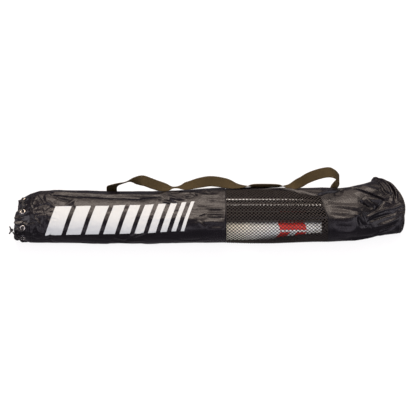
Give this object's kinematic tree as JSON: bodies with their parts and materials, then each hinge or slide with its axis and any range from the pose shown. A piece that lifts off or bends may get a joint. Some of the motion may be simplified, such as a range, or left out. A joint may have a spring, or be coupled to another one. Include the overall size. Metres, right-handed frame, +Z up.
{
  "type": "packed portable net set",
  "caption": "Free-standing sports net packed in a black drawstring carry bag with a mesh window and a webbing shoulder strap.",
  "frame": {"origin": "centre of the box around the bag, on the ground under it", "axes": "+X along the bag from the laced mouth to the closed end, +Y from the side with the mesh window's foot to the back, +Z up; the bag lies on its long side"},
  "size_m": [0.9483, 0.177, 0.1419],
  "materials": {
    "nylon": "woven black nylon, half gloss, crinkled",
    "mesh": "open knitted mesh, black",
    "piping": "bound seam, black",
    "eyelet_steel": "nickel plated",
    "cord": "braided black cord",
    "webbing": "woven webbing, brown black",
    "tube_paint": "gloss black paint",
    "button_steel": "plain",
    "plug_plastic": "matte black",
    "tee_plastic": "matte black",
    "net_cord": "knotted black netting, rolled",
    "net_tape": "white vinyl faced tape",
    "tie_tape": "black tape"
  },
  "bodies": {
    "bag": {"left_sleeve": "nylon", "right_sleeve": "nylon", "mesh_window": "mesh", "back_panel": "nylon", "end_disc": "nylon", "end_piping": "piping", "mouth_hem": "nylon", "eyelets": "eyelet_steel", "eyelet_washers": "eyelet_steel", "drawstring": "cord", "drawstring_knot": "cord", "strap_tab_left": "webbing", "strap_tab_right": "webbing", "base_rail_left": "tube_paint", "base_rail_right": "tube_paint", "button_spring_left": "button_steel", "button_spring_right": "button_steel", "upright_right": "tube_paint", "upright_right_caps": "plug_plastic", "foot_bar_left": "tube_paint", "foot_bar_left_plugs": "plug_plastic", "foot_bar_right": "tube_paint", "foot_bar_right_plugs": "plug_plastic", "tee_left": "tee_plastic", "tee_right": "tee_plastic", "net_roll": "net_cord", "net_band": "net_tape", "net_tie": "tie_tape"},
    "strap": {"carry_strap": "webbing"},
    "middle_rail": {"base_rail_middle": "tube_paint", "button_spring_middle": "button_steel"},
    "middle_button": {"snap_button_middle": "button_steel"},
    "left_button": {"snap_button_left": "button_steel"},
    "right_button": {"snap_button_right": "button_steel"},
    "upright": {"upright_left": "tube_paint", "upright_left_caps": "plug_plastic"}
  },
  "joints": [
    {"name": "strap_swing", "type": "hinge", "parent": "bag", "child": "strap", "pos_m": [0, 0.052, 0.036], "axis": [-1, 0, 0], "range_deg": [0, 90]},
    {"name": "middle_rail_slide", "type": "slide", "parent": "bag", "child": "middle_rail", "axis": [-1, 0, 0], "range_m": [0, 0.76]},
    {"name": "upright_slide", "type": "slide", "parent": "bag", "child": "upright", "axis": [-1, 0, 0], "range_m": [0, 0.68]},
    {"name": "left_button_press", "type": "slide", "parent": "bag", "child": "left_button", "axis": [0, 0, -1], "range_m": [0, 0.0024], "stiffness_N_per_m": 400, "springref_m": -0.001, "deforming": ["button_spring_left"]},
    {"name": "middle_button_press", "type": "slide", "parent": "middle_rail", "child": "middle_button", "axis": [0, 0, 1], "range_m": [0, 0.0024], "stiffness_N_per_m": 400, "springref_m": -0.001, "deforming": ["button_spring_middle"]},
    {"name": "right_button_press", "type": "slide", "parent": "bag", "child": "right_button", "axis": [0, 0, 1], "range_m": [0, 0.0024], "stiffness_N_per_m": 400, "springref_m": -0.001, "deforming": ["button_spring_right"]}
  ]
}
